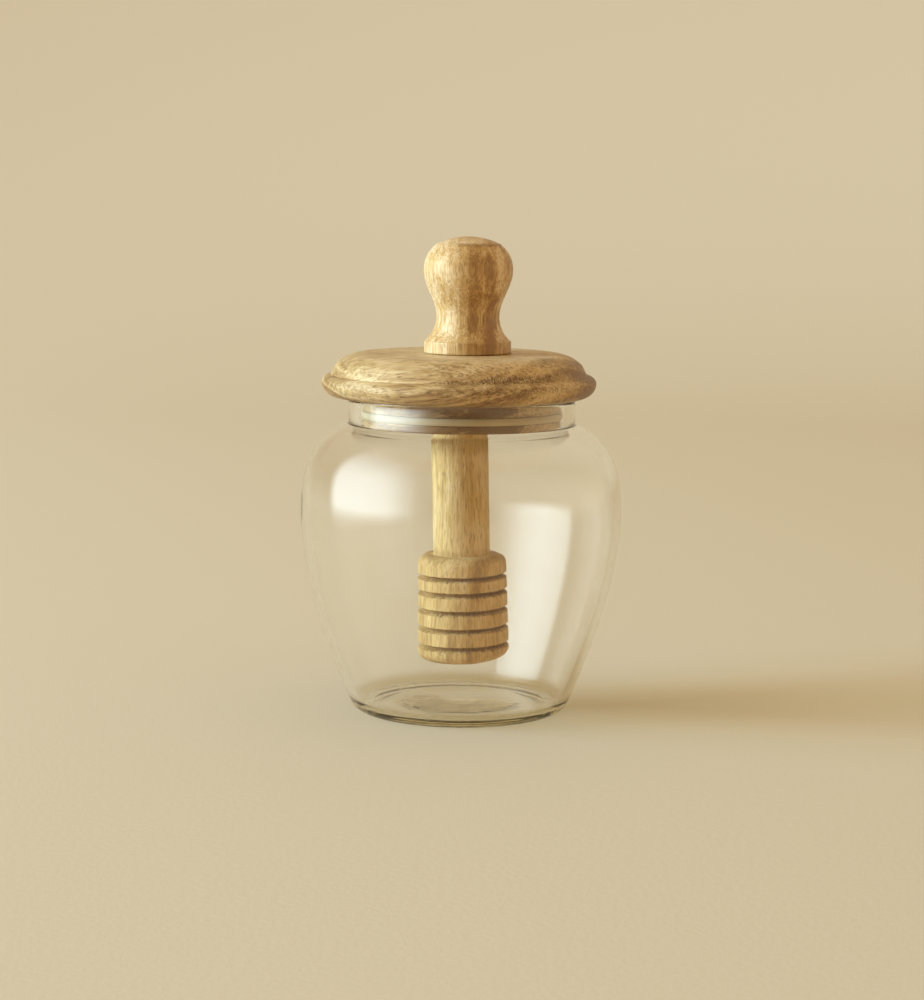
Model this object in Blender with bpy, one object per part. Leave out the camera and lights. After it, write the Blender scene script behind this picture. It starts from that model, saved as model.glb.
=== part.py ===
"""Glass honey pot with a turned wooden lid, a gasket, a knob and a honey dipper under the lid.

Metres, +Z up. The origin is on the jar's axis, on the surface that its foot stands on,
and -Y is the front. Every piece is turned: a profile of (radius, height) points is spun
about its own axis. The wooden pieces are hand made, so their axes differ a little.
"""

import math

import bmesh
import bpy
from mathutils import Matrix, Vector

# Jar: blown glass, with a taper below the belly and a rounder shoulder above it
BELLY_RADIUS = 0.0500
BELLY_HEIGHT = 0.0605
BASE_RADIUS = 0.0331
TAPER_POWER = 1.62
SHOULDER_RISE = 0.0339
SHOULDER_POWER = 3.04
NECK_RADIUS = 0.03525
NECK_CORNER_ROUNDING = 0.0006
RIM_HEIGHT = 0.0980
RIM_ROUNDING = 0.0012
BORE_RADIUS = 0.0320
BORE_CORNER_ROUNDING = 0.0015
BORE_CORNER_RISE = 0.0009
WALL = 0.0025
FLOOR_HEIGHT = 0.0028
FLOOR_ROUNDING = 0.0040
HEEL_ROUNDING = 0.0045
WALL_BASE_HEIGHT = 0.0032
FOOT_RING_INNER_RADIUS = 0.0272
RECESS_RADIUS = 0.0262
RECESS_DEPTH = 0.0010

# Lid: a domed disc whose steep edge ends at a narrow ledge over a bead, and a plug below it.
# Heights are measured up from the disc's underside.
RIM_GAP = 0.0003
DISC_SHIFT = -0.0010
DISC_RADIUS = 0.0427
DISC_THICKNESS = 0.0135
BEAD_HEIGHT = 0.0065
BEAD_WIDEST_HEIGHT = 0.0045
LEDGE_OUTER_RADIUS = 0.0412
LEDGE_INNER_RADIUS = 0.0399
LEDGE_INNER_HEIGHT = 0.0070
EDGE_TOP_RADIUS = 0.0382
EDGE_TOP_HEIGHT = 0.0100
UNDERSIDE_RADIUS = 0.0377
DOME_RADIUS = 0.0349
DOME_EDGE_DROP = 0.0002
DOME_ROUNDING = 0.0112
PLUG_RADIUS = 0.0307
PLUG_DEPTH = 0.0087
PLUG_EDGE_ROUNDING = 0.0006
GROOVE_FLOOR_RADIUS = 0.0293
GROOVE_HEIGHT = 0.0029

# Gasket: a silicone ring in the plug's groove
GASKET_RADIUS = 0.0314
GASKET_HEIGHT = 0.0023
GASKET_BASE_HEIGHT = 0.0920
GASKET_ROUNDING = 0.0006

# Knob: a ball with a flatter cap, on a waist that flares down to a sloping ledge and a low collar
KNOB_SHIFT = 0.0016
KNOB_GAP = 0.0003
COLLAR_RADIUS = 0.01355
COLLAR_HEIGHT = 0.0039
COLLAR_ROUNDING = 0.0003
FLARE_RADIUS = 0.0114
FLARE_HEIGHT = 0.0059
WAIST_RADIUS = 0.00985
WAIST_HEIGHT = 0.0114
BALL_RADIUS = 0.0139
BALL_HEIGHT = 0.0257
BALL_RISE = 0.0110
BALL_POWER = 2.1
CAP_DROP = 0.0024
KNOB_HEIGHT = 0.0360

# Dipper: a stem and a drum with burnt grooves, hung a little askew under the plug.
# Drops are measured down from the plug's underside, and a groove's section is (offset, depth).
STEM_RADIUS = 0.0089
STEM_GAP = 0.0003
STEM_SPARE = 0.0020
DRUM_TOP_DROP = 0.0406
DRUM_HEIGHT = 0.0328
DRUM_TOP_RADIUS = 0.01385
DRUM_BOTTOM_RADIUS = 0.0144
DRUM_TOP_ROUNDING = 0.0030
DRUM_BOTTOM_ROUNDING = 0.0029
GROOVES = 5
SECOND_GROOVE_DROP = 0.0113
FIRST_GROOVE_LEAD = 0.0049
GROOVE_PITCH = 0.00557
GROOVE_SECTION = ((-0.0009, 0), (-0.0004, 0.0013), (0.0004, 0.0013), (0.0009, 0))
DIPPER_SHIFT = -0.0007
DIPPER_LEAN = math.radians(1.55)

# Sides of each turned piece, and steps in the longer curves of a profile
JAR_SIDES = 52
LID_SIDES = 48
GASKET_SIDES = 40
KNOB_SIDES = 28
DIPPER_SIDES = 28
TAPER_STEPS = 7
SHOULDER_STEPS = 9
SHOULDER_SPACING = 1.2
WAIST_STEPS = 4
BALL_STEPS = 5
CAP_STEPS = 3
BEAD_STEPS = 4
ARC_STEPS = 3
FINE_ARC_STEPS = 2

# Points closer than this are one, and edges bent by more than this angle stay sharp
MERGE_DISTANCE = 0.000001
SHARP_ANGLE = math.radians(35)

UNDERSIDE_HEIGHT = RIM_HEIGHT + RIM_GAP
DISC_TOP_HEIGHT = UNDERSIDE_HEIGHT + DISC_THICKNESS
PLUG_BOTTOM_HEIGHT = UNDERSIDE_HEIGHT - PLUG_DEPTH


def clear_scene():
    for thing in list(bpy.data.objects):
        bpy.data.objects.remove(thing, do_unlink=True)


def plain_material(name, colour, roughness, metallic=0.0, alpha=1.0):
    material = bpy.data.materials.new(name)
    material.use_nodes = True
    shader = material.node_tree.nodes["Principled BSDF"]
    shader.inputs["Base Color"].default_value = (*colour, 1.0)
    shader.inputs["Roughness"].default_value = roughness
    shader.inputs["Metallic"].default_value = metallic
    shader.inputs["Alpha"].default_value = alpha
    return material


def rounded(corners, steps=ARC_STEPS):
    """The points of a profile given as (radius, height) or (radius, height, rounding) corners.

    Each rounding becomes an arc that meets both of the corner's sides.
    """
    points = []
    for index, corner in enumerate(corners):
        here = Vector(corner[:2])
        if len(corner) == 2:
            points.append(here)
            continue
        back = (Vector(corners[index - 1][:2]) - here).normalized()
        ahead = (Vector(corners[index + 1][:2]) - here).normalized()
        half_angle = back.angle(ahead) / 2
        centre = here + (back + ahead).normalized() * (corner[2] / math.sin(half_angle))
        start = here + back * (corner[2] / math.tan(half_angle)) - centre
        end = here + ahead * (corner[2] / math.tan(half_angle)) - centre
        turn = math.atan2(start.cross(end), start.dot(end))
        for step in range(steps + 1):
            points.append(centre + Matrix.Rotation(turn * step / steps, 2) @ start)
    return points


def moved_inward(points, depth):
    """A profile moved square to itself by a depth, for the inner face of a wall.

    The profile runs upwards on the outer side, so its inner side is on its left.
    """
    moved = []
    for index, point in enumerate(points):
        before = points[max(index - 1, 0)]
        after = points[min(index + 1, len(points) - 1)]
        along = (after - before).normalized()
        moved.append(point + Vector((-along.y, along.x)) * depth)
    return moved


def turned(name, profile, sides, material):
    """An object turned about the Z axis from a profile whose ends are both on that axis."""
    shape = bmesh.new()
    on_axis = (profile[0], profile[-1])
    points = [shape.verts.new((0 if point in on_axis else point[0], 0, point[1])) for point in profile]
    edges = [shape.edges.new(pair) for pair in zip(points, points[1:])]
    bmesh.ops.spin(
        shape,
        geom=points + edges,
        axis=(0, 0, 1),
        cent=(0, 0, 0),
        angle=math.tau,
        steps=sides,
        use_merge=True,
    )
    return finished(name, shape, material)


def finished(name, shape, material):
    bmesh.ops.remove_doubles(shape, verts=shape.verts, dist=MERGE_DISTANCE)
    bmesh.ops.recalc_face_normals(shape, faces=shape.faces)
    mesh = bpy.data.meshes.new(name)
    shape.to_mesh(mesh)
    shape.free()
    mesh.shade_smooth()
    mesh.set_sharp_from_angle(angle=SHARP_ANGLE)
    mesh.materials.append(material)
    thing = bpy.data.objects.new(name, mesh)
    bpy.context.scene.collection.objects.link(thing)
    return thing


def taper_radius(height):
    drop = (BELLY_HEIGHT - height) / BELLY_HEIGHT
    return BELLY_RADIUS - (BELLY_RADIUS - BASE_RADIUS) * drop**TAPER_POWER


def outer_wall():
    """The jar's outer wall from just above the heel to the neck's corner."""
    rise = (BELLY_HEIGHT - WALL_BASE_HEIGHT) / TAPER_STEPS
    heights = [WALL_BASE_HEIGHT + rise * step for step in range(TAPER_STEPS)]
    taper = [Vector((taper_radius(height), height)) for height in heights]
    half_power = 2 / SHOULDER_POWER
    last_angle = math.acos((NECK_RADIUS / BELLY_RADIUS) ** (1 / half_power))
    shoulder = []
    for step in range(SHOULDER_STEPS + 1):
        angle = last_angle * (step / SHOULDER_STEPS) ** SHOULDER_SPACING
        radius = BELLY_RADIUS * math.cos(angle) ** half_power
        height = BELLY_HEIGHT + SHOULDER_RISE * math.sin(angle) ** half_power
        shoulder.append(Vector((radius, height)))
    return taper + shoulder


def make_jar():
    """The inner wall runs straight on down from its lowest stretch to meet the floor."""
    outer = outer_wall()
    inner = moved_inward(outer, WALL)
    lean = (inner[1].x - inner[0].x) / (inner[1].y - inner[0].y)
    floor_corner_radius = inner[0].x - (inner[0].y - FLOOR_HEIGHT) * lean
    corners = [
        (0, RECESS_DEPTH),
        (RECESS_RADIUS, RECESS_DEPTH),
        (FOOT_RING_INNER_RADIUS, 0),
        (BASE_RADIUS, 0, HEEL_ROUNDING),
        *[tuple(point) for point in outer[:-1]],
        (*outer[-1], NECK_CORNER_ROUNDING),
        (NECK_RADIUS, RIM_HEIGHT, RIM_ROUNDING),
        (BORE_RADIUS, RIM_HEIGHT, RIM_ROUNDING),
        (BORE_RADIUS, inner[-1].y + BORE_CORNER_RISE, BORE_CORNER_ROUNDING),
        *[tuple(point) for point in reversed(inner[1:-1])],
        (floor_corner_radius, FLOOR_HEIGHT, FLOOR_ROUNDING),
        (0, FLOOR_HEIGHT),
    ]
    glass = plain_material("jar glass", (0.86, 0.88, 0.80), 0.05, alpha=0.35)
    return turned("jar", rounded(corners), JAR_SIDES, glass)


def bead(lower, upper):
    """A bead's section as two quarters of an ellipse, from its lower end out and up to its upper end."""
    widest = UNDERSIDE_HEIGHT + BEAD_WIDEST_HEIGHT
    points = []
    for step in range(-BEAD_STEPS, BEAD_STEPS + 1):
        end_radius, end_height = lower if step < 0 else upper
        angle = math.pi / 2 * abs(step) / BEAD_STEPS
        radius = end_radius + (DISC_RADIUS - end_radius) * math.cos(angle)
        points.append((radius, widest + (end_height - widest) * math.sin(angle)))
    return points


def make_lid():
    """The disc and the plug are turned as two shapes and joined, since their axes differ."""
    wood = plain_material("lid wood", (0.42, 0.27, 0.13), 0.55)
    bead_top = UNDERSIDE_HEIGHT + BEAD_HEIGHT
    disc_corners = [
        (0, UNDERSIDE_HEIGHT),
        *bead(lower=(UNDERSIDE_RADIUS, UNDERSIDE_HEIGHT), upper=(LEDGE_OUTER_RADIUS, bead_top)),
        (LEDGE_INNER_RADIUS, UNDERSIDE_HEIGHT + LEDGE_INNER_HEIGHT),
        (EDGE_TOP_RADIUS, UNDERSIDE_HEIGHT + EDGE_TOP_HEIGHT),
        (DOME_RADIUS, DISC_TOP_HEIGHT - DOME_EDGE_DROP, DOME_ROUNDING),
        (COLLAR_RADIUS + abs(DISC_SHIFT) + KNOB_SHIFT, DISC_TOP_HEIGHT),
        (0, DISC_TOP_HEIGHT),
    ]
    groove_base = GASKET_BASE_HEIGHT - (GROOVE_HEIGHT - GASKET_HEIGHT) / 2
    plug_corners = [
        (0, PLUG_BOTTOM_HEIGHT),
        (PLUG_RADIUS, PLUG_BOTTOM_HEIGHT, PLUG_EDGE_ROUNDING),
        (PLUG_RADIUS, groove_base),
        (GROOVE_FLOOR_RADIUS, groove_base),
        (GROOVE_FLOOR_RADIUS, groove_base + GROOVE_HEIGHT),
        (PLUG_RADIUS, groove_base + GROOVE_HEIGHT),
        (PLUG_RADIUS, UNDERSIDE_HEIGHT + BEAD_HEIGHT / 2),
        (0, UNDERSIDE_HEIGHT + BEAD_HEIGHT / 2),
    ]
    lid = turned("lid", rounded(disc_corners), LID_SIDES, wood)
    lid.data.transform(Matrix.Translation((DISC_SHIFT, 0, 0)))
    plug = turned("plug", rounded(plug_corners), LID_SIDES, wood)
    plug.hide_render = True
    plug.display_type = "WIRE"
    join = lid.modifiers.new("plug", "BOOLEAN")
    join.operation = "UNION"
    join.object = plug
    return lid


def make_gasket():
    """A ring is closed by spinning a loop that doesn't touch the axis."""
    silicone = plain_material("gasket silicone", (0.62, 0.60, 0.54), 0.45)
    inner_radius = GROOVE_FLOOR_RADIUS + RIM_GAP
    top = GASKET_BASE_HEIGHT + GASKET_HEIGHT
    corners = [
        (inner_radius, top),
        (inner_radius, GASKET_BASE_HEIGHT),
        (GASKET_RADIUS, GASKET_BASE_HEIGHT, GASKET_ROUNDING),
        (GASKET_RADIUS, top, GASKET_ROUNDING),
        (inner_radius, top),
    ]
    profile = rounded(corners, steps=FINE_ARC_STEPS)[:-1]
    shape = bmesh.new()
    points = [shape.verts.new((radius, 0, height)) for radius, height in profile]
    edges = [shape.edges.new(pair) for pair in zip(points, points[1:] + points[:1])]
    bmesh.ops.spin(
        shape,
        geom=points + edges,
        axis=(0, 0, 1),
        cent=(0, 0, 0),
        angle=math.tau,
        steps=GASKET_SIDES,
        use_merge=True,
    )
    return finished("gasket", shape, silicone)


def make_knob():
    base = DISC_TOP_HEIGHT + KNOB_GAP
    flare_base = DISC_TOP_HEIGHT + FLARE_HEIGHT
    waist = DISC_TOP_HEIGHT + WAIST_HEIGHT
    ball = DISC_TOP_HEIGHT + BALL_HEIGHT
    cap_base = DISC_TOP_HEIGHT + KNOB_HEIGHT - CAP_DROP
    corners = [
        (0, base),
        (COLLAR_RADIUS, base, COLLAR_ROUNDING),
        (COLLAR_RADIUS, DISC_TOP_HEIGHT + COLLAR_HEIGHT, COLLAR_ROUNDING),
    ]
    for step in range(WAIST_STEPS + 1):
        rise = step / WAIST_STEPS
        flare = (FLARE_RADIUS - WAIST_RADIUS) * (1 - rise) ** 2
        corners.append((WAIST_RADIUS + flare, flare_base + (waist - flare_base) * rise))
    for step in range(1, 2 * WAIST_STEPS + 1):
        rise = step / (2 * WAIST_STEPS)
        swell = (BALL_RADIUS - WAIST_RADIUS) * (1 - math.cos(math.pi * rise)) / 2
        corners.append((WAIST_RADIUS + swell, waist + (ball - waist) * rise))
    last_angle = math.asin(((cap_base - ball) / BALL_RISE) ** (BALL_POWER / 2))
    for step in range(1, BALL_STEPS + 1):
        angle = last_angle * step / BALL_STEPS
        radius = BALL_RADIUS * math.cos(angle) ** (2 / BALL_POWER)
        height = ball + BALL_RISE * math.sin(angle) ** (2 / BALL_POWER)
        corners.append((radius, height))
    cap_radius = corners[-1][0]
    for step in range(1, CAP_STEPS + 1):
        share = 1 - step / CAP_STEPS
        corners.append((cap_radius * share, cap_base + CAP_DROP * (1 - share**2)))
    wood = plain_material("knob wood", (0.66, 0.44, 0.20), 0.40)
    knob = turned("knob", rounded(corners, steps=FINE_ARC_STEPS), KNOB_SIDES, wood)
    knob.data.transform(Matrix.Translation((KNOB_SHIFT, 0, 0)))
    return knob


def drum_radius(drop):
    share = (drop - DRUM_TOP_DROP) / DRUM_HEIGHT
    return DRUM_TOP_RADIUS + (DRUM_BOTTOM_RADIUS - DRUM_TOP_RADIUS) * share


def make_dipper():
    """Turned about Z with its top above the plug's underside, leaned, then cut off level there."""
    drum_bottom = DRUM_TOP_DROP + DRUM_HEIGHT
    corners = [
        (0, STEM_SPARE),
        (STEM_RADIUS, STEM_SPARE),
        (STEM_RADIUS, -DRUM_TOP_DROP),
        (DRUM_TOP_RADIUS, -DRUM_TOP_DROP, DRUM_TOP_ROUNDING),
    ]
    for groove in range(GROOVES):
        spacing = (groove - 1) * GROOVE_PITCH if groove else -FIRST_GROOVE_LEAD
        middle = DRUM_TOP_DROP + SECOND_GROOVE_DROP + spacing
        for offset, depth in GROOVE_SECTION:
            drop = middle + offset
            corners.append((drum_radius(drop) - depth, -drop))
    corners += [
        (DRUM_BOTTOM_RADIUS, -drum_bottom, DRUM_BOTTOM_ROUNDING),
        (0, -drum_bottom),
    ]
    wood = plain_material("dipper wood", (0.70, 0.52, 0.30), 0.55)
    dipper = turned("dipper", rounded(corners), DIPPER_SIDES, wood)
    lean = Matrix.Rotation(-DIPPER_LEAN, 4, "Y")
    hang = Matrix.Translation((DIPPER_SHIFT, 0, PLUG_BOTTOM_HEIGHT))
    cut_height = PLUG_BOTTOM_HEIGHT - STEM_GAP
    shape = bmesh.new()
    shape.from_mesh(dipper.data)
    bmesh.ops.transform(shape, matrix=hang @ lean, verts=shape.verts)
    bmesh.ops.bisect_plane(
        shape,
        geom=[*shape.verts, *shape.edges, *shape.faces],
        plane_co=(0, 0, cut_height),
        plane_no=(0, 0, 1),
        clear_outer=True,
    )
    rim = [edge for edge in shape.edges if edge.is_boundary]
    bmesh.ops.edgeloop_fill(shape, edges=rim)
    bmesh.ops.recalc_face_normals(shape, faces=shape.faces)
    shape.to_mesh(dipper.data)
    shape.free()
    dipper.data.set_sharp_from_angle(angle=SHARP_ANGLE)
    return dipper


clear_scene()
make_jar()
make_lid()
make_gasket()
make_knob()
make_dipper()
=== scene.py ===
# Glass honey pot with a turned wooden lid and a dipper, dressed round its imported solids.
# Metres, +Z up, the front towards -Y. Each turned piece is a profile of (radius, height) points, spun.
import math

import bmesh
import bpy
from mathutils import Matrix, Vector, noise


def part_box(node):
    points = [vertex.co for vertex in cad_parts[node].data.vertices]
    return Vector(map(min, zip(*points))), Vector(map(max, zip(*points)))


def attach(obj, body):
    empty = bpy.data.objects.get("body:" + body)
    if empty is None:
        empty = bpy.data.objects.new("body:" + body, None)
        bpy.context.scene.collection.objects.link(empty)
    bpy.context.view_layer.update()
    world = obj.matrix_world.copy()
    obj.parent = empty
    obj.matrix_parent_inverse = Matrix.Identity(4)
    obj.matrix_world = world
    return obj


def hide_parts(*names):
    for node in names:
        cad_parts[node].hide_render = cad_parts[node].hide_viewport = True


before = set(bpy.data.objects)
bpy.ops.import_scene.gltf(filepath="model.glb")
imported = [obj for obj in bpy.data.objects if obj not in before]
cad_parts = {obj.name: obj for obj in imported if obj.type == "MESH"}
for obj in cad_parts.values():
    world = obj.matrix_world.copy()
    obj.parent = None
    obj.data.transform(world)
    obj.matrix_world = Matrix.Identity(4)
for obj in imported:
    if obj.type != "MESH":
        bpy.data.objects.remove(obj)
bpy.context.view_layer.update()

# Jar: clear glass blown in a mould, olive where it is thick. It stands on a stippled foot ring
# round a shallow recess, and its straight neck takes the lid's plug.
jar_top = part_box("jar")[1]
belly_radius = jar_top.x
rim_height = jar_top.z
belly_height = 0.0605
base_radius = 0.0331
taper_power = 1.62
shoulder_rise = 0.0339
shoulder_power = 3.04
shoulder_spacing = 1.2
neck_radius = 0.03525
neck_corner_rounding = 0.0006
rim_rounding = 0.0012
bore_radius = 0.0320
bore_corner_drop = 0.0002
bore_corner_rounding = 0.0008
shoulder_start_rounding = 0.0050
wall = 0.0025
wall_base_height = 0.0032
floor_height = 0.0028
floor_swell_rise = 0.0010
floor_swell_radii = (0.0060, 0.0200)
floor_rounding = 0.0040
floor_swell_rounding = 0.0500
heel_rounding = 0.0045
foot_ring_inner_radius = 0.0272
foot_ring_rounding = 0.0008
recess_radius = 0.0225
recess_depth = 0.0004
recess_rounding = 0.0500
stipple_height = 0.00010
wall_wave = 0.00004
wall_wave_top = 0.086
floor_wave = 0.00005
floor_tint = 0.15
heel_height = 0.0040
wall_steps = 36
jar_sides = 240
jar_longest_run = 0.0009


def rounded(corners, steps):
    """Turns (radius, height) or (radius, height, rounding) corners into a profile with arcs."""
    points = []
    for index, corner in enumerate(corners):
        here = Vector(corner[:2])
        if len(corner) == 2:
            points.append(here)
            continue
        back = (Vector(corners[index - 1][:2]) - here).normalized()
        ahead = (Vector(corners[index + 1][:2]) - here).normalized()
        half_angle = back.angle(ahead) / 2
        centre = here + (back + ahead).normalized() * (corner[2] / math.sin(half_angle))
        start = here + back * (corner[2] / math.tan(half_angle)) - centre
        end = here + ahead * (corner[2] / math.tan(half_angle)) - centre
        turn = math.atan2(start.cross(end), start.dot(end))
        points += [centre + Matrix.Rotation(turn * step / steps, 2) @ start for step in range(steps + 1)]
    return points


def refined(profile, longest):
    """Splits a profile's long straight runs, so that relief has points to move."""
    points = [profile[0]]
    for point in profile[1:]:
        start = points[-1].copy()
        pieces = max(1, math.ceil((point - start).length / longest))
        points += [start.lerp(point, (part + 1) / pieces) for part in range(pieces)]
    return points


def spun(profile, sides, closed=False):
    """A full turn of a profile about Z. An open profile has both of its ends on the axis."""
    shape = bmesh.new()
    points = [shape.verts.new((point.x, 0, point.y)) for point in profile]
    edges = [shape.edges.new(pair) for pair in zip(points, points[1:])]
    if closed:
        edges.append(shape.edges.new((points[-1], points[0])))
    bmesh.ops.spin(
        shape,
        geom=points + edges,
        axis=(0, 0, 1),
        cent=(0, 0, 0),
        angle=math.tau,
        steps=sides,
        use_merge=True,
    )
    bmesh.ops.remove_doubles(shape, verts=shape.verts, dist=1e-6)
    bmesh.ops.recalc_face_normals(shape, faces=shape.faces)
    return shape


def finished(name, shape, material, node):
    """Makes the shape a piece that stands for a solid and rides on the pot's one body."""
    mesh = bpy.data.meshes.new(name)
    shape.to_mesh(mesh)
    shape.free()
    mesh.shade_smooth()
    mesh.set_sharp_from_angle(angle=math.radians(40))
    mesh.materials.append(material)
    thing = bpy.data.objects.new(name, mesh)
    bpy.context.scene.collection.objects.link(thing)
    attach(thing, "root")
    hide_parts(node)


def from_axis(vert):
    """How far a point is from the Z axis, and the level direction away from the axis there."""
    radius = math.hypot(vert.co.x, vert.co.y)
    return radius, Vector((vert.co.x, vert.co.y, 0)) / max(radius, 1e-6)


def smooth(value, low, high):
    """0 below low, 1 above high, and a smooth climb between them."""
    share = min(1, max(0, (value - low) / (high - low)))
    return share * share * (3 - 2 * share)


class Wire:
    """A socket of a material's tree. Arithmetic on it adds Math nodes."""

    def __init__(self, tree, socket=None):
        self.tree = tree
        self.socket = socket

    def node(self, kind, settings, sockets, output=0):
        """Adds any node: its settings are made first, then its sockets take values or wires."""
        made = self.tree.nodes.new(kind)
        for name, value in settings.items():
            if name == "stops":
                ramp = made.color_ramp.elements
                while len(ramp) < len(value):
                    ramp.new(1.0)
                for element, (position, colour) in zip(ramp, value):
                    element.position = position
                    element.color = (*colour, 1.0)
            else:
                setattr(made, name, value)
        for name, value in sockets.items():
            if isinstance(value, Wire):
                self.tree.links.new(value.socket, made.inputs[name])
            else:
                made.inputs[name].default_value = value
        return Wire(self.tree, made.outputs[output]) if made.outputs else None

    def math(self, operation, *values):
        return self.node("ShaderNodeMath", {"operation": operation}, dict(enumerate(values)))

    def __add__(self, other):
        return self.math("ADD", self, other)

    def __radd__(self, other):
        return self.math("ADD", other, self)

    def __sub__(self, other):
        return self.math("SUBTRACT", self, other)

    def __rsub__(self, other):
        return self.math("SUBTRACT", other, self)

    def __mul__(self, other):
        return self.math("MULTIPLY", self, other)

    def __rmul__(self, other):
        return self.math("MULTIPLY", other, self)

    def __truediv__(self, other):
        return self.math("DIVIDE", self, other)

    def step(self, low, high):
        """0 below low, 1 above high, and smooth between them."""
        settings = {"interpolation_type": "SMOOTHSTEP"}
        return self.node("ShaderNodeMapRange", settings, {"Value": self, "From Min": low, "From Max": high})

    def blend(self, first, second):
        """A colour between two, by this wire's value."""
        return self.node("ShaderNodeMix", {"data_type": "RGBA"}, {0: self, 6: first, 7: second}, output=2)


def new_material(name):
    """An empty material, as the material and a first wire into its tree."""
    material = bpy.data.materials.new(name)
    material.use_nodes = True
    material.node_tree.nodes.clear()
    return material, Wire(material.node_tree)


def object_place(start):
    """A piece's own coordinates, as one vector."""
    return start.node("ShaderNodeTexCoord", {}, {}, output="Object")


def split(place):
    """The X, Y and Z of a vector."""
    return [place.node("ShaderNodeSeparateXYZ", {}, {0: place}, output=axis) for axis in range(3)]


def outer_wall(steps):
    """The outer wall from just above the heel, over the belly, to the neck's corner."""
    rise = (belly_height - wall_base_height) / steps
    points = []
    for step in range(steps):
        height = wall_base_height + rise * step
        drop = (belly_height - height) / belly_height
        points.append(Vector((belly_radius - (belly_radius - base_radius) * drop**taper_power, height)))
    half_power = 2 / shoulder_power
    last_angle = math.acos((neck_radius / belly_radius) ** (1 / half_power))
    for step in range(steps + 1):
        angle = last_angle * (step / steps) ** shoulder_spacing
        radius = belly_radius * math.cos(angle) ** half_power
        points.append(Vector((radius, belly_height + shoulder_rise * math.sin(angle) ** half_power)))
    return points


def moved_inward(points, depth):
    """A profile moved square to itself, for the wall's inner face."""
    moved = []
    for index, point in enumerate(points):
        before = points[max(index - 1, 0)]
        after = points[min(index + 1, len(points) - 1)]
        along = (after - before).normalized()
        moved.append(point + Vector((-along.y, along.x)) * depth)
    return moved


# The inner wall's last points under the neck are left out, so that the rounding there has room.
outer = outer_wall(wall_steps)
inner = [point for point in moved_inward(outer, wall) if floor_height + floor_rounding < point.y]
lean = (inner[1].x - inner[0].x) / (inner[1].y - inner[0].y)
floor_corner_radius = inner[0].x - (inner[0].y - floor_height) * lean
glass_profile = rounded(
    [
        (0, recess_depth),
        (recess_radius, recess_depth, recess_rounding),
        (foot_ring_inner_radius, 0, foot_ring_rounding),
        (base_radius, 0, heel_rounding),
        *[tuple(point) for point in outer[:-1]],
        (*outer[-1], neck_corner_rounding),
        (neck_radius, rim_height, rim_rounding),
        (bore_radius, rim_height, rim_rounding),
        (bore_radius, outer[-1].y - bore_corner_drop, bore_corner_rounding),
        (*inner[-1], shoulder_start_rounding),
        *[tuple(point) for point in reversed(inner[1:-3])],
        (floor_corner_radius, floor_height, floor_rounding),
        (floor_swell_radii[1], floor_height, floor_swell_rounding),
        (floor_swell_radii[0], floor_height + floor_swell_rise, floor_swell_rounding),
        (0, floor_height + floor_swell_rise),
    ],
    steps=8,
)
jar_shape = spun(refined(glass_profile, jar_longest_run), jar_sides)
tint_and_shade_layer = jar_shape.verts.layers.float.new("tint")
for vert in jar_shape.verts:
    radius, away = from_axis(vert)
    height = vert.co.z
    swell = noise.noise(vert.co * 55)
    mottle = noise.noise(vert.co * 620) + 0.7 * noise.noise(vert.co * 240)
    if height < recess_depth + 0.0001 and radius < foot_ring_inner_radius + 0.003:
        on_ring = smooth(radius, foot_ring_inner_radius - 0.004, base_radius)
        vert.co.z += stipple_height * max(0, mottle) * on_ring
        vert[tint_and_shade_layer] = floor_tint
    elif floor_height - 0.0002 < height < floor_height + 0.0014 and radius < floor_corner_radius - 0.002:
        sloping = smooth(radius, floor_swell_radii[0] - 0.003, floor_swell_radii[0] + 0.004)
        sloping *= 1 - smooth(radius, floor_swell_radii[1] - 0.003, floor_swell_radii[1] + 0.002)
        vert.co.z += floor_wave * (swell + 0.9 * mottle * sloping)
        # Painted shade: past 1, the tint darkens the floor's sloping ring, mottled and strongest at the
        # front and left.
        front_shade_weight = 0.55 - 0.45 * away.y - 0.25 * away.x
        vert[tint_and_shade_layer] = floor_tint + sloping * max(0, 1.7 + 1.4 * mottle) * front_shade_weight
    elif height < wall_wave_top and radius < belly_radius - 0.0002:
        vert.co += away * wall_wave * swell * min(1, (wall_wave_top - height) / 0.01)
        vert[tint_and_shade_layer] = 1 - smooth(height, heel_height * 0.6, heel_height * 1.6)

glass, start = new_material("clear glass")
tint = start.node("ShaderNodeAttribute", {"attribute_name": "tint"}, {}, output="Fac")
glass_colour = tint.blend((1, 1, 1, 1), (0.80, 0.70, 0.52, 1))
# Tint above 1 is painted shade, blended towards a dark brown.
glass_colour = tint.step(1.0, 2.0).blend(glass_colour, (0.42, 0.36, 0.24, 1))
body = start.node(
    "ShaderNodeBsdfPrincipled",
    {},
    {"Base Color": glass_colour, "Roughness": 0.0, "IOR": 1.5, "Transmission Weight": 1.0},
)
clear = start.node("ShaderNodeBsdfTransparent", {}, {"Color": (0.935, 0.93, 0.905, 1)})
is_shadow = start.node("ShaderNodeLightPath", {}, {}, output="Is Shadow Ray")
is_diffuse = start.node("ShaderNodeLightPath", {}, {}, output="Is Diffuse Ray")
skips = start.math("MAXIMUM", is_shadow, is_diffuse)
surface = start.node("ShaderNodeMixShader", {}, {0: skips, 1: body, 2: clear})
olive = start.node("ShaderNodeVolumeAbsorption", {}, {"Color": (0.80, 0.79, 0.58, 1), "Density": 19.0})
start.node("ShaderNodeOutputMaterial", {}, {"Surface": surface, "Volume": olive})
finished("glass_jar", jar_shape, glass, "jar")

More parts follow.
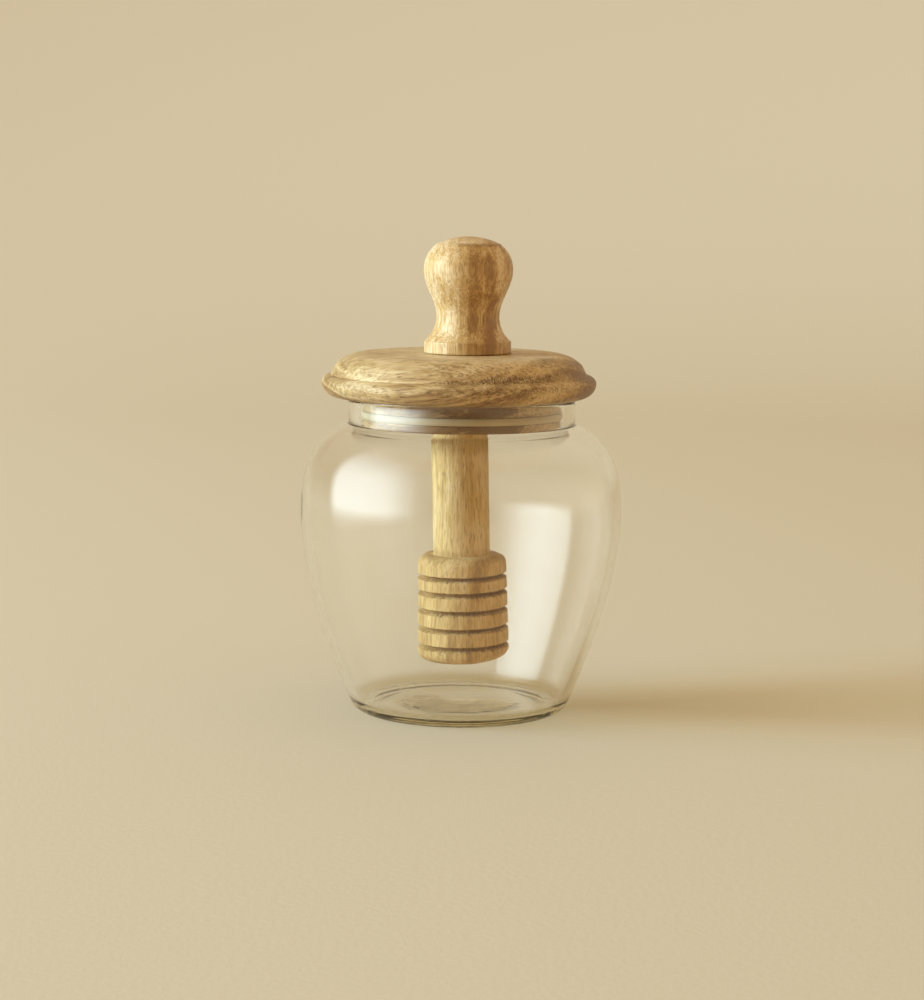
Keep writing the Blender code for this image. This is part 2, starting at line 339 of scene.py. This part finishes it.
# Lid: a disc of brown open-pored wood, turned with a domed top whose steep edge ends at a narrow
# ledge over a bead. Its plug is left on below. The grain lies flat, and the cutter tore it at the front.
lid_low, lid_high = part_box("lid")
gasket_low, gasket_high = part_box("gasket")
disc_centre = (lid_low.x + lid_high.x) / 2
disc_radius = (lid_high.x - lid_low.x) / 2
plug_bottom = lid_low.z
disc_top = lid_high.z
underside = rim_height + 0.0003
underside_radius = 0.0377
widest = underside + 0.0045
bead_top = underside + 0.0065
ledge_outer_radius = 0.0412
ledge_inner_radius = 0.0399
ledge_inner_height = underside + 0.0068
bead_last_angle = math.radians(50)
bead_depth = (disc_radius - ledge_outer_radius) / (1 - math.cos(bead_last_angle))
bead_fullness = (bead_top - widest) / math.sin(bead_last_angle)
edge_top_radius = 0.0382
edge_top_height = underside + 0.0100
dome_radius = 0.0349
dome_edge_drop = 0.0002
dome_rounding = 0.0112
flat_radius = 0.0162
plug_radius = 0.0307
plug_rounding = 0.0006
groove_floor_radius = 0.0293
groove_clearance = 0.0001
lid_sides = 310
lid_longest_run = 0.0007
lid_waviness = 0.00006
tear_depth = 0.00032
tear_height = 0.0028
tear_from = math.radians(-12)
tear_to = math.radians(56)


def quarter(start, end, steps):
    """A quarter of an ellipse between two points, level at the first and upright at the second."""
    points = []
    for step in range(1, steps + 1):
        angle = math.pi / 2 * step / steps
        radius = start[0] + (end[0] - start[0]) * math.sin(angle)
        height = start[1] + (end[1] - start[1]) * (1 - math.cos(angle))
        points.append(Vector((radius, height)))
    return points


groove_low = gasket_low.z - groove_clearance
groove_high = gasket_high.z + groove_clearance
lid_profile = rounded(
    [
        (0, plug_bottom),
        (plug_radius, plug_bottom, plug_rounding),
        (plug_radius, groove_low),
        (groove_floor_radius, groove_low),
        (groove_floor_radius, groove_high),
        (plug_radius, groove_high),
        (plug_radius, underside),
        (underside_radius, underside),
    ],
    steps=4,
)
lid_profile += quarter((underside_radius, underside), (disc_radius, widest), 14)
for step in range(1, 11):
    angle = bead_last_angle * step / 10
    level = disc_radius - bead_depth * (1 - math.cos(angle))
    lid_profile.append(Vector((level, widest + bead_fullness * math.sin(angle))))
lid_profile += rounded(
    [
        (ledge_outer_radius - 0.0002, bead_top + 0.0001),
        (ledge_inner_radius, ledge_inner_height, 0.0001),
        (edge_top_radius, edge_top_height, 0.0004),
        (dome_radius, disc_top - dome_edge_drop, dome_rounding),
        (flat_radius, disc_top),
        (0, disc_top),
    ],
    steps=12,
)
lid_shape = spun(refined(lid_profile, lid_longest_run), lid_sides)
for vert in lid_shape.verts:
    radius, _ = from_axis(vert)
    share = smooth(radius, plug_radius, underside_radius) if vert.co.z < underside + 1e-5 else 1
    vert.co.x += disc_centre * share


def front_angle(point, centre_x):
    """The angle round a piece from its front, positive towards +X."""
    return math.atan2(point.x - centre_x, -point.y)


def in_tear(point):
    """Whether a point is on or just round the torn stretch of the steep edge."""
    near = ledge_inner_height - 0.0004 < point.z < edge_top_height + 0.0006
    return near and tear_from - 0.05 < front_angle(point, disc_centre) < tear_to + 0.05


rough = [edge for edge in lid_shape.edges if all(in_tear(vert.co) for vert in edge.verts)]
bmesh.ops.subdivide_edges(lid_shape, edges=rough, cuts=3, use_grid_fill=True)
torn_layer = lid_shape.verts.layers.float.new("torn")
bruised_layer = lid_shape.verts.layers.float.new("bruised")
for vert in lid_shape.verts:
    angle = front_angle(vert.co, disc_centre)
    radius = math.hypot(vert.co.x - disc_centre, vert.co.y)
    away = Vector((vert.co.x - disc_centre, vert.co.y, 0)) / max(radius, 1e-6)
    height = vert.co.z
    if height > underside:
        inward = lid_waviness * (noise.noise(vert.co * 90) - 0.7)
        vert.co += away * inward * smooth(radius, 0.02, 0.03)
    if in_tear(vert.co):
        grown = 0.35 + 0.65 * smooth(angle, math.radians(4), math.radians(16))
        band = smooth(height, ledge_inner_height, ledge_inner_height + 0.0003)
        tear_top = ledge_inner_height + tear_height * grown
        band *= 1 - smooth(height, tear_top - 0.0010, tear_top)
        along = smooth(angle, tear_from, tear_from + 0.12) * (1 - smooth(angle, tear_to - 0.25, tear_to))
        round_way = angle * radius
        chips = noise.noise(Vector((round_way / 0.00032 + height / 0.0016, height / 0.0026, 0)))
        chips += 0.4 * noise.noise(Vector((round_way / 0.00020, height / 0.0012, 5)))
        torn = band * along
        vert[torn_layer] = torn
        vert.co -= away * smooth(chips, 0.0, 0.4) * torn * tear_depth
    elif widest - 0.0008 < height < bead_top + 0.0001 and radius > ledge_outer_radius - 0.0002:
        band = smooth(height, widest - 0.0008, widest)
        band *= 1 - smooth(height, bead_top - 0.0010, bead_top - 0.0003)
        along = smooth(angle, 0.05, 0.25) * (1 - smooth(angle, 0.7, 1.1))
        vert[bruised_layer] = band * (0.45 + 0.4 * along)


def grain_noise(place, along, across, detail=2.0, shift=0.0):
    """Noise drawn out along the grain, its two lengths given in metres."""
    moved = place.node("ShaderNodeVectorMath", {"operation": "ADD"}, {0: place, 1: (shift, shift, shift)})
    scale = (1 / along, 1 / across, 1 / across)
    drawn = moved.node("ShaderNodeVectorMath", {"operation": "MULTIPLY"}, {0: moved, 1: scale})
    return drawn.node("ShaderNodeTexNoise", {}, {"Vector": drawn, "Scale": 1.0, "Detail": detail})


def wood_grain(start, pith, turn, ring_width, pore):
    """Growth rings about a pith line, patches, long streaks, fine fibres and open pores.

    The grain runs along X once the piece's coordinates are turned, and pore is a pore's (length, width).
    """
    place = object_place(start)
    place = place.node("ShaderNodeMapping", {}, {"Vector": place, "Location": pith, "Rotation": turn})
    _, across, up = split(place)
    squared = across * across + up * up
    wander = grain_noise(place, 0.060, 0.022) - 0.5
    count = (squared.math("SQRT", squared) + wander * 0.006) / ring_width
    sockets = {"W": count, "Scale": 1.0, "Detail": 3.0}
    rings = count.node("ShaderNodeTexNoise", {"noise_dimensions": "1D"}, sockets)
    patches = grain_noise(place, 0.050, 0.018, shift=0.3)
    streaks = grain_noise(place, 0.028, 0.0011, detail=4.0)
    fibres = grain_noise(place, 0.009, 0.00032, detail=2.0, shift=0.5)
    pores = grain_noise(place, pore[0], pore[1], detail=1.0, shift=0.7).step(0.57, 0.66)
    return place, rings, patches, streaks, fibres, pores


def with_surface(start, colour, roughness, height, relief, shine=0.5):
    """A wood's shader, with its height as a bump, joined to the material's output."""
    bump = height.node("ShaderNodeBump", {}, {"Height": height, "Distance": relief, "Strength": 1.0})
    sockets = {"Base Color": colour, "Roughness": roughness, "Normal": bump, "Specular IOR Level": shine}
    shader = start.node("ShaderNodeBsdfPrincipled", {}, sockets)
    start.node("ShaderNodeOutputMaterial", {}, {"Surface": shader})


lid_wood, start = new_material("brown lid wood")
place, rings, patches, streaks, fibres, pores = wood_grain(
    start,
    pith=(0.02, 0.014, -0.045),
    turn=(math.radians(9), math.radians(4), math.radians(20)),
    ring_width=0.0034,
    pore=(0.0065, 0.00042),
)
side, _, up = split(object_place(start))
# Painted shade: the plug below the disc is darker, most in its middle.
plug_shade = 1.0 - up.step(underside - 0.0006, underside + 0.0004)
plug_shade = plug_shade * (1.0 - side.math("ABSOLUTE", side).step(0.008, 0.022))
# Painted shade and light: the disc darkens towards its right edge and a little towards its left, and its
# top is painted lighter, a painted sheen.
painted_edge_shade_and_top_sheen = side.step(0.028, 0.041) * 0.26 + (1.0 - side.step(-0.042, -0.026)) * 0.10
painted_edge_shade_and_top_sheen = painted_edge_shade_and_top_sheen - up.step(disc_top - 0.003, disc_top - 0.0005) * 0.08
tone = rings * 0.8 + patches * 0.7 + streaks * 0.8 + fibres * 0.5 - plug_shade * 0.46 - painted_edge_shade_and_top_sheen - 0.86
colour = tone.node(
    "ShaderNodeValToRGB",
    {"stops": ((0.26, (0.23, 0.120, 0.038)), (0.50, (0.46, 0.314, 0.132)), (0.74, (0.66, 0.505, 0.265)))},
    {"Fac": tone},
)
band = start.node("ShaderNodeAttribute", {"attribute_name": "torn"}, {}, output="Fac")
bruise = start.node("ShaderNodeAttribute", {"attribute_name": "bruised"}, {}, output="Fac")
upright_place = object_place(start)
upright_place = upright_place.node(
    "ShaderNodeVectorMath", {"operation": "MULTIPLY"}, {0: upright_place, 1: (3600, 3600, 500)}
)
ticks = upright_place.node("ShaderNodeTexNoise", {}, {"Vector": upright_place, "Scale": 1.0, "Detail": 2.0})
tear = ticks.step(0.42, 0.60) * band * 0.85
dash = grain_noise(place, 0.0022, 0.0005, detail=2.0, shift=0.9).step(0.46, 0.60) * bruise * 0.8
dark = start.math("MAXIMUM", start.math("MAXIMUM", pores * 0.6, tear), dash)
colour = dark.blend(colour, (0.10, 0.052, 0.020, 1))
relief = streaks * 0.5 + fibres * 0.3 - dark * 0.8
with_surface(start, colour, 0.38 + dark * 0.25 + streaks * 0.1, relief, 0.00005, shine=0.8)
finished("wooden_lid", lid_shape, lid_wood, "lid")

# Gasket: a ring of milky silicone in the plug's groove, seen brown over the wood behind it.
# It bulges a little at its outer edge, towards the bore.
gasket_middle = (gasket_low.z + gasket_high.z) / 2
gasket_inner_radius = groove_floor_radius + groove_clearance
gasket_corner = 0.0004
gasket_bulge_rounding = 0.0012
gasket_sides = 240
gasket_edge_radius = gasket_high.x - gasket_corner
gasket_profile = rounded(
    [
        (gasket_inner_radius, gasket_high.z),
        (gasket_inner_radius, gasket_low.z),
        (gasket_edge_radius, gasket_low.z, gasket_corner),
        (gasket_high.x, gasket_middle, gasket_bulge_rounding),
        (gasket_edge_radius, gasket_high.z, gasket_corner),
        (gasket_inner_radius, gasket_high.z),
    ],
    steps=4,
)[:-1]
gasket_shape = spun(gasket_profile, gasket_sides, closed=True)
silicone, start = new_material("milky silicone")
place = object_place(start)
cloud = start.node("ShaderNodeTexNoise", {}, {"Vector": place, "Scale": 160.0, "Detail": 3.0})
milk = cloud.blend((0.60, 0.51, 0.33, 1), (0.72, 0.62, 0.42, 1))
shader = start.node(
    "ShaderNodeBsdfPrincipled",
    {},
    {"Base Color": milk, "Roughness": 0.28 + cloud * 0.1, "Transmission Weight": 0.2, "IOR": 1.41},
)
start.node("ShaderNodeOutputMaterial", {}, {"Surface": shader})
finished("silicone_gasket", gasket_shape, silicone, "gasket")

# Knob: a ball with a flatter cap, on a waist that flares down to a sloping ledge and a low collar.
# It is turned from a golden, finer wood with its grain upright, and set right of the lid's middle.
knob_low, knob_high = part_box("knob")
knob_centre = (knob_low.x + knob_high.x) / 2
ball_radius = (knob_high.x - knob_low.x) / 2
collar_radius = 0.01355
collar_top = disc_top + 0.0039
crease = 0.0003
flare_radius = 0.0114
flare_base = disc_top + 0.0059
waist_radius = 0.00985
waist = disc_top + 0.0114
ball = disc_top + 0.0257
ball_rise = 0.0110
ball_power = 2.1
cap_drop = 0.0024
seating = 0.0002
knob_bottom = knob_low.z - seating
knob_sides = 220
knob_longest_run = 0.0006
knob_waviness = 0.00006
turning_marks = 0.00003
knob_profile = rounded(
    [
        (0, knob_bottom),
        (collar_radius, knob_bottom, 0.0004),
        (collar_radius, collar_top, 0.0002),
        (collar_radius - crease, collar_top - crease / 4),
        (flare_radius, flare_base, 0.0012),
        (waist_radius, waist),
    ],
    steps=5,
)[:-1]
for step in range(1, 15):
    rise = step / 14
    flare = (flare_radius - waist_radius) * (1 - rise) ** 2
    height = flare_base + (waist - flare_base) * rise
    if height > knob_profile[-1].y:
        knob_profile.append(Vector((waist_radius + flare, height)))
for step in range(1, 25):
    rise = step / 24
    swell = (ball_radius - waist_radius) * (1 - math.cos(math.pi * rise)) / 2
    knob_profile.append(Vector((waist_radius + swell, waist + (ball - waist) * rise)))
cap_base = knob_high.z - cap_drop
last_angle = math.asin(((cap_base - ball) / ball_rise) ** (ball_power / 2))
for step in range(1, 19):
    angle = last_angle * step / 18
    radius = ball_radius * math.cos(angle) ** (2 / ball_power)
    knob_profile.append(Vector((radius, ball + ball_rise * math.sin(angle) ** (2 / ball_power))))
cap_radius = knob_profile[-1].x
for step in range(1, 13):
    share = 1 - step / 12
    knob_profile.append(Vector((cap_radius * share, cap_base + cap_drop * (1 - share**2))))
knob_shape = spun(refined(knob_profile, knob_longest_run), knob_sides)
for vert in knob_shape.verts:
    _, away = from_axis(vert)
    if knob_low.z + 0.0002 < vert.co.z < cap_base - 0.0003:
        turned_mark = noise.noise(Vector((0, 0, vert.co.z * 1400))) - 0.7
        wave = knob_waviness * (noise.noise(vert.co * 110) - 0.8)
        vert.co += away * (wave + turning_marks * turned_mark)
    vert.co.x += knob_centre

upright = math.radians(90)
heart_left = knob_centre - 0.0005
heart_right = knob_centre + 0.0085
knob_wood, start = new_material("golden knob wood")
place, rings, patches, streaks, fibres, pores = wood_grain(
    start,
    pith=(0.0, 0.020, 0.052),
    turn=(math.radians(4), upright, 0),
    ring_width=0.0030,
    pore=(0.0050, 0.00034),
)
stain = grain_noise(place, 0.010, 0.006, detail=3.0, shift=0.2)
side, _, up = split(object_place(start))
side = side + (stain - 0.5) * 0.018 + (streaks - 0.5) * 0.008
below_cap = 1.0 - up.step(cap_base - 0.0004, cap_base + 0.0003)
heart = side.step(heart_left - 0.004, heart_left + 0.004) * below_cap
heart = heart * (1.0 - side.step(heart_right - 0.003, heart_right + 0.003))
blotch = grain_noise(place, 0.004, 0.0035, detail=2.0, shift=0.6).step(0.45, 0.62) * heart
tone = rings * 0.35 + stain * 0.5 + streaks * 0.5 + fibres * 0.6 - heart * 0.18 - blotch * 0.12 - 0.42
colour = tone.node(
    "ShaderNodeValToRGB",
    {"stops": ((0.26, (0.31, 0.160, 0.045)), (0.50, (0.54, 0.345, 0.125)), (0.74, (0.75, 0.600, 0.370)))},
    {"Fac": tone},
)
from_cap = up - cap_base
# Painted shade: a dark line where the cap meets the ball, only right of the heart's left edge, where that
# edge is shaded.
painted_cap_edge_shade = 1.0 - from_cap.math("ABSOLUTE", from_cap).step(0.0002, 0.0006)
painted_cap_edge_shade = painted_cap_edge_shade * side.step(heart_left - 0.003, heart_left)
dark = start.math("MAXIMUM", pores * 0.55, painted_cap_edge_shade * 0.6)
colour = dark.blend(colour, (0.22, 0.110, 0.035, 1))
relief = fibres * 0.4 + streaks * 0.3 - pores * 0.5
with_surface(start, colour, 0.32 + streaks * 0.12 + pores * 0.2, relief, 0.00002, shine=0.8)
finished("wooden_knob", knob_shape, knob_wood, "knob")

# Dipper: a stem and a drum turned in one from a light wood, the drum cut with five grooves whose
# walls were burnt dark, with painted shade under each groove's upper lip; the dark is fainter on the lit
# left.
# It hangs a little askew under the plug.
stem_radius = 0.0089
drum_top_drop = 0.0406
drum_height = 0.0328
drum_bottom = drum_top_drop + drum_height
drum_top_radius = 0.01385
drum_bottom_radius = 0.0144
drum_top_rounding = 0.0030
drum_bottom_rounding = 0.0029
second_groove = drum_top_drop + 0.0113
groove_drops = [second_groove - 0.0049] + [second_groove + 0.00557 * step for step in range(4)]
groove_depth = 0.0013
groove_section = ((-0.0009, 0), (-0.0004, groove_depth), (0.0004, groove_depth), (0.0009, 0))
groove_rounding = 0.00015
dipper_sides = 240
dipper_longest_run = 0.0004
groove_raggedness = 0.00014
char_and_shade_reach = 0.00036
dipper_waviness = 0.00006
drum_end_slope = 0.07
dipper_shift = -0.0007
dipper_lean = math.radians(1.55)


def drum_radius(drop):
    """The drum widens a little downwards."""
    share = (drop - drum_top_drop) / drum_height
    return drum_top_radius + (drum_bottom_radius - drum_top_radius) * share


corners = [
    (0, -0.0001),
    (stem_radius, -0.0001),
    (stem_radius, -drum_top_drop, 0.0004),
    (drum_top_radius, -drum_top_drop, drum_top_rounding),
]
for middle in groove_drops:
    for offset, depth in groove_section:
        drop = middle + offset
        corners.append((drum_radius(drop) - depth, -drop, groove_rounding))
corners += [(drum_bottom_radius, -drum_bottom, drum_bottom_rounding), (0, -drum_bottom)]
dipper_shape = spun(refined(rounded(corners, steps=5), dipper_longest_run), dipper_sides)
char_and_shade_layer = dipper_shape.verts.layers.float.new("char")
for vert in dipper_shape.verts:
    drop = -vert.co.z
    radius, away = from_axis(vert)
    angle = math.atan2(vert.co.y, vert.co.x)
    nearest = min(groove_drops, key=lambda middle: abs(middle - drop))
    distance = abs(nearest - drop)
    if 0.0002 < drop < drum_bottom - 0.0001 and radius > 0.002:
        vert.co += away * dipper_waviness * (noise.noise(vert.co * 120) - 0.8)
    if distance < 0.0030 and radius > drum_top_radius - 2 * groove_depth:
        ragged = noise.noise(Vector((angle * 40, nearest * 5000, 0)))
        ragged += 0.6 * noise.noise(Vector((angle * 95, nearest * 5000, 3)))
        vert.co.z += groove_raggedness * ragged * (1 - smooth(distance, 0.0010, 0.0022))
        # Painted shade: the dark reaches less far below a groove's middle and is fainter on the lit left.
        below = 0.00012 * smooth(drop - nearest, -0.0002, 0.0002)
        splinter = max(0, noise.noise(Vector((angle * 60, nearest * 3000, 7)))) ** 2
        reach = char_and_shade_reach - below + 0.00020 * ragged + 0.0030 * splinter * (drop > nearest)
        from_left = smooth(front_angle(vert.co, 0), math.radians(-85), math.radians(-20))
        vert[char_and_shade_layer] = (0.5 + 0.5 * from_left) * (1 - smooth(distance, reach, reach + 0.00040))
    if drop > drum_bottom - drum_bottom_rounding:
        vert.co.z += max(0, vert.co.x - 0.0025) * drum_end_slope
hang = Matrix.Translation((dipper_shift, 0, plug_bottom)) @ Matrix.Rotation(-dipper_lean, 4, "Y")
bmesh.ops.transform(dipper_shape, matrix=hang, verts=dipper_shape.verts)
stem_end_height = plug_bottom - 0.0003
for vert in dipper_shape.verts:
    vert.co.z = min(vert.co.z, stem_end_height)

dipper_wood, start = new_material("light dipper wood")
place, rings, patches, streaks, fibres, pores = wood_grain(
    start,
    pith=(0.0, 0.030, 0.040),
    turn=(math.radians(-3), upright, 0),
    ring_width=0.0028,
    pore=(0.0042, 0.00034),
)
stain = grain_noise(place, 0.016, 0.006, detail=3.0, shift=0.2)
side, _, up = split(object_place(start))
drum_top = plug_bottom - drum_top_drop
# Painted light and shade: the stem above the drum is painted lighter, and the dipper's left half, where the
# key falls, darker than its right.
painted_left_shade_and_stem_light = up.step(drum_top, drum_top + 0.003) * 0.14 + side.step(-0.009, 0.0) * 0.15
tone = rings * 0.35 + stain * 0.55 + streaks * 0.6 + fibres * 0.6 + painted_left_shade_and_stem_light - 0.72
colour = tone.node(
    "ShaderNodeValToRGB",
    {"stops": ((0.26, (0.40, 0.250, 0.088)), (0.50, (0.64, 0.455, 0.195)), (0.74, (0.76, 0.610, 0.345)))},
    {"Fac": tone},
)
colour = (pores * 0.55).blend(colour, (0.27, 0.155, 0.060, 1))
# Burnt dark in the grooves, with painted shade as well.
char = start.node("ShaderNodeAttribute", {"attribute_name": "char"}, {}, output="Fac")
soot = grain_noise(place, 0.0012, 0.0009, detail=3.0)
scorched_and_shaded = char * (0.60 + soot * 0.5)
colour = scorched_and_shaded.blend(colour, (0.14, 0.060, 0.012, 1))
relief = streaks * 0.4 + fibres * 0.3 - pores * 0.6
with_surface(start, colour, 0.48 + streaks * 0.12 + char * 0.2, relief, 0.00003)
finished("wooden_dipper", dipper_shape, dipper_wood, "dipper")

# Studio: a plain warm floor that turns up into a wall on all sides, a soft key light low on the left,
# a warm fill from all round, and three cards that are only seen mirrored: a softbox on the left, a
# warm board on the right and a dark flag at the front.
sweep_radius = 2.3
sweep_turn_up = 1.35
sweep_height = 2.8
wall_shade_height = 0.6
sweep_profile = rounded([(0, 0), (sweep_radius, 0, sweep_turn_up), (sweep_radius, sweep_height)], steps=32)
sweep_shape = spun(sweep_profile, 160)
bmesh.ops.reverse_faces(sweep_shape, faces=sweep_shape.faces)
sweep_mesh = bpy.data.meshes.new("floor")
sweep_shape.to_mesh(sweep_mesh)
sweep_shape.free()
sweep_mesh.shade_smooth()
sweep = bpy.data.objects.new("floor", sweep_mesh)
bpy.context.scene.collection.objects.link(sweep)
paint, start = new_material("matt floor paint")
place = object_place(start)
speckle = start.node("ShaderNodeTexNoise", {}, {"Vector": place, "Scale": 500.0, "Detail": 2.0})
_, _, up = split(place)
shade = speckle.blend((0.638, 0.587, 0.443, 1), (0.658, 0.606, 0.460, 1))
# The paint darkens up the wall to wall_shade_height: partly a darker wall, partly painted shade against the
# key, which falls more strongly on the wall.
shade = up.step(0.0, wall_shade_height).blend(shade, (0.602, 0.518, 0.378, 1))
bump = speckle.node("ShaderNodeBump", {}, {"Height": speckle, "Distance": 0.0001, "Strength": 0.5})
shader = start.node("ShaderNodeBsdfPrincipled", {}, {"Base Color": shade, "Roughness": 0.8, "Normal": bump})
start.node("ShaderNodeOutputMaterial", {}, {"Surface": shader})
sweep_mesh.materials.append(paint)
sweep.visible_shadow = False
sweep.visible_diffuse = False

key_lamp = bpy.data.lights.new("key", "AREA")
key_lamp.shape = "RECTANGLE"
key_lamp.size = 2.0
key_lamp.size_y = 1.6
key_lamp.energy = 250
key_lamp.color = (0.60, 0.82, 1.0)
key = bpy.data.objects.new("key", key_lamp)
key.location = (-3.2, -0.30, 0.875)
key_ahead = Vector((0, 0, 0.07)) - key.location
key.rotation_euler = key_ahead.to_track_quat("-Z", "Y").to_euler()
key.visible_glossy = False
key.visible_transmission = False
bpy.context.scene.collection.objects.link(key)


def hung(name, corners, material, look):
    """A four-cornered card that only mirrored rays see, with its look as a shader of its material."""
    unseen = look.node("ShaderNodeBsdfTransparent", {}, {})
    mirrored = look.node("ShaderNodeLightPath", {}, {}, output="Glossy Depth")
    mirrored = mirrored.math("MINIMUM", mirrored, 1.0)
    shown = look.node("ShaderNodeMixShader", {}, {0: mirrored, 1: unseen, 2: look})
    look.node("ShaderNodeOutputMaterial", {}, {"Surface": shown})
    shape = bmesh.new()
    bmesh.ops.contextual_create(shape, geom=[shape.verts.new(corner) for corner in corners])
    mesh = bpy.data.meshes.new(name)
    shape.to_mesh(mesh)
    shape.free()
    mesh.materials.append(material)
    card = bpy.data.objects.new(name, mesh)
    bpy.context.scene.collection.objects.link(card)
    card.visible_camera = False
    card.visible_diffuse = False
    card.visible_shadow = False


def beside_pot(side, front, rear, top):
    """The corners of an upright card at X = side."""
    return (side, front, 0), (side, rear, 0), (side, rear, top), (side, front, top)


rear_edge_lean = 0.27


def soft_glow(name, middle, spread, edge, strength, colour):
    """A light for an upright card, fading from its middle (Y, Z), added to what is behind the card.

    Its rear edge starts at Y = edge on the floor and leans back.
    """
    material, start = new_material(name)
    _, across, up = split(object_place(start))
    side = (across - middle[0]) / spread[0]
    level = (up - middle[1]) / spread[1]
    hot = start.math("EXPONENT", (level * level + side * side) * -0.5) * up.step(-0.01, 0.06)
    leaning = across - up * rear_edge_lean
    hot = hot * (1.0 - leaning.step(edge - 0.03, edge + 0.03))
    lamp = start.node("ShaderNodeEmission", {}, {"Color": colour, "Strength": hot * strength})
    behind = start.node("ShaderNodeBsdfTransparent", {}, {})
    return material, start.node("ShaderNodeAddShader", {}, {0: lamp, 1: behind})


softbox, look = soft_glow(
    "softbox",
    middle=(-0.17, 0.15),
    spread=(0.28, 0.30),
    edge=0.08,
    strength=5.7,
    colour=(0.78, 0.92, 1.0, 1),
)
hung("softbox", beside_pot(side=-0.47, front=-0.95, rear=0.40, top=0.95), softbox, look)
warm_board, look = soft_glow(
    "warm board",
    middle=(0.0, 0.03),
    spread=(0.28, 0.18),
    edge=0.40,
    strength=0.5,
    colour=(1.0, 0.90, 0.66, 1),
)
hung("warm_board", beside_pot(side=0.60, front=-0.45, rear=0.55, top=0.70), warm_board, look)
flag_y = -0.62
flag_half_width = 0.5
flag_top = 0.9
dark_flag, start = new_material("dark flag")
side, _, up = split(object_place(start))
dark = (1.0 - side.math("ABSOLUTE", side).step(0.10, 0.46)) * up.step(-0.03, 0.05)
dark = dark * (0.9 - up.step(0.0, 0.5) * 0.4)
black = start.node("ShaderNodeEmission", {}, {"Color": (0.02, 0.015, 0.01, 1), "Strength": 1.0})
behind = start.node("ShaderNodeBsdfTransparent", {}, {})
look = start.node("ShaderNodeMixShader", {}, {0: dark, 1: behind, 2: black})
flag_corners = (
    (-flag_half_width, flag_y, 0),
    (flag_half_width, flag_y, 0),
    (flag_half_width, flag_y, flag_top),
    (-flag_half_width, flag_y, flag_top),
)
hung("dark_flag", flag_corners, dark_flag, look)

world = bpy.data.worlds.new("room")
world.use_nodes = True
world.node_tree.nodes["Background"].inputs["Color"].default_value = (0.74, 0.51, 0.27, 1)
world.node_tree.nodes["Background"].inputs["Strength"].default_value = 0.90
bpy.context.scene.world = world
bpy.context.scene.view_settings.view_transform = "Standard"
bpy.context.scene.cycles.max_bounces = 24
bpy.context.scene.cycles.glossy_bounces = 12
bpy.context.scene.cycles.transmission_bounces = 24

# Camera: a 90 mm lens 0.78 m away, looking down by 7.4 degrees and rolled by half a degree.
camera_pitch = math.radians(7.4)
camera_roll = math.radians(0.55)
camera_distance = 0.78125
aim = Vector((0.0003, 0, 0.0658))
lens = bpy.data.cameras.new("camera")
lens.lens = 90
lens.sensor_width = 36
camera = bpy.data.objects.new("camera", lens)
camera.location = aim + Vector((0, -math.cos(camera_pitch), math.sin(camera_pitch))) * camera_distance
tilt = Matrix.Rotation(math.radians(90) - camera_pitch, 3, "X") @ Matrix.Rotation(camera_roll, 3, "Z")
camera.rotation_euler = tilt.to_euler()
bpy.context.scene.collection.objects.link(camera)
bpy.context.scene.camera = camera
